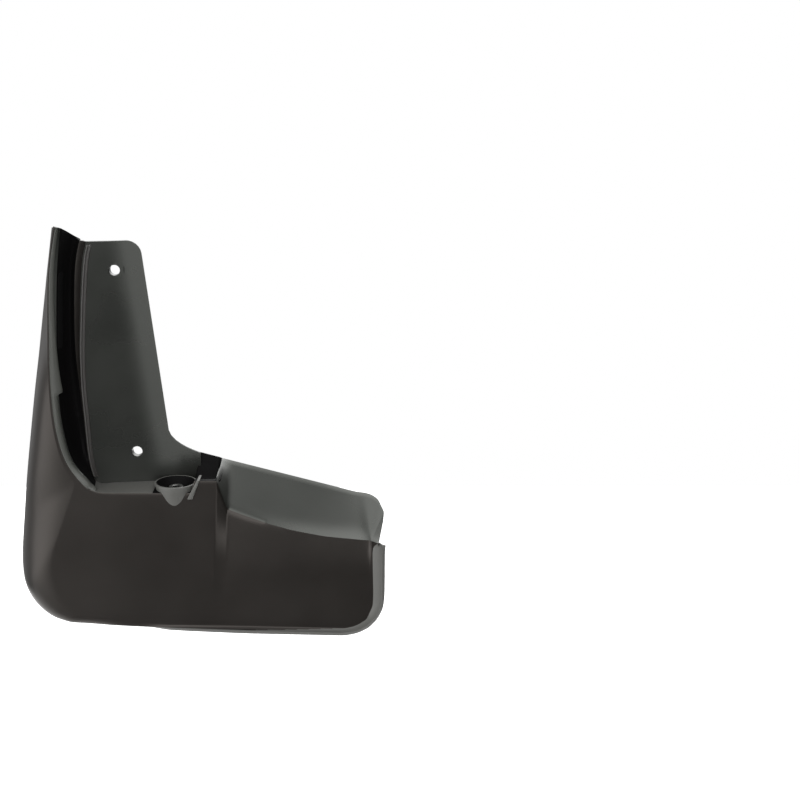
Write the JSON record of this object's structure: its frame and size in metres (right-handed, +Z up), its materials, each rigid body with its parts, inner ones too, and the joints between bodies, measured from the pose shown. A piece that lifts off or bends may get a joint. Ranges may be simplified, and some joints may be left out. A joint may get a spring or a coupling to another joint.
{
  "type": "mud flap",
  "caption": "Left-hand moulded car splash guard with an upright screw flange, a screw cup on its ledge and a soft edge strip.",
  "frame": {"origin": "centre of the lower flange hole on the flange's front face", "axes": "+X inboard along the lower face, +Y towards the wheel, +Z up"},
  "size_m": [0.2922, 0.0459, 0.3201],
  "materials": {
    "moulding": "matte",
    "strip": "satin",
    "bead": "satin",
    "tape": "matte",
    "bush": "satin"
  },
  "bodies": {
    "root": {"flap_moulding": "moulding", "edge_strip": "strip", "fold_bead": "bead", "channel_tape": "tape", "cup_bush": "bush"}
  },
  "joints": []
}
